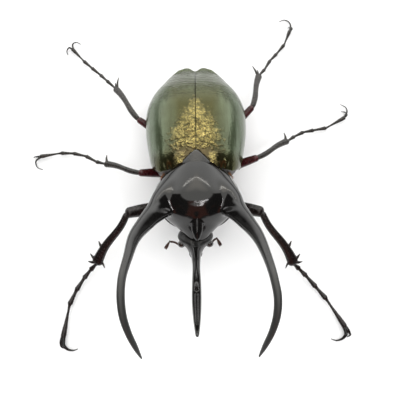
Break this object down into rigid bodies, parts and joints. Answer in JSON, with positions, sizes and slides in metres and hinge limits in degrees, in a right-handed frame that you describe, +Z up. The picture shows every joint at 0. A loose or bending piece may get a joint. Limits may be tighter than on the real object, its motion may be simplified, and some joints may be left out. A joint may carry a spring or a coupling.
{
  "type": "caucasus beetle",
  "caption": "Still life-size male caucasus beetle standing on its claws, with long curved horns, olive bronze wing covers and slim jointed legs.",
  "frame": {"origin": "middle of the bounding box on the floor that the claws stand on", "axes": "+Z up; -Y towards the head and horns; +X towards the beetle's own left"},
  "size_m": [0.1404, 0.1528, 0.0562],
  "materials": {
    "elytra": "glossy metallic olive bronze",
    "black_shell": "glossy black",
    "underside": "satin black brown",
    "thigh": "glossy dark red brown",
    "limb": "satin black brown",
    "eye": "glossy dark brown"
  },
  "bodies": {
    "root": {"abdomen": "underside", "antenna_left": "limb", "antenna_right": "limb", "elytron_left": "elytra", "elytron_right": "elytra", "eye_left": "eye", "eye_right": "eye", "fore_coxa_left": "thigh", "fore_coxa_right": "thigh", "fore_femur_left": "thigh", "fore_femur_right": "thigh", "fore_tarsus_left": "limb", "fore_tarsus_right": "limb", "fore_tibia_left": "limb", "fore_tibia_right": "limb", "head": "black_shell", "head_horn": "black_shell", "hind_coxa_left": "thigh", "hind_coxa_right": "thigh", "hind_femur_left": "thigh", "hind_femur_right": "thigh", "hind_tarsus_left": "limb", "hind_tarsus_right": "limb", "hind_thorax": "underside", "hind_tibia_left": "limb", "hind_tibia_right": "limb", "mandible_left": "black_shell", "mandible_right": "black_shell", "mid_coxa_left": "thigh", "mid_coxa_right": "thigh", "mid_femur_left": "thigh", "mid_femur_right": "thigh", "mid_tarsus_left": "limb", "mid_tarsus_right": "limb", "mid_tibia_left": "limb", "mid_tibia_right": "limb", "palp_left": "limb", "palp_right": "limb", "pronotal_horn_left": "black_shell", "pronotal_horn_middle": "black_shell", "pronotal_horn_right": "black_shell", "pronotum": "black_shell", "pygidium": "underside", "scutellum": "black_shell"}
  },
  "joints": []
}
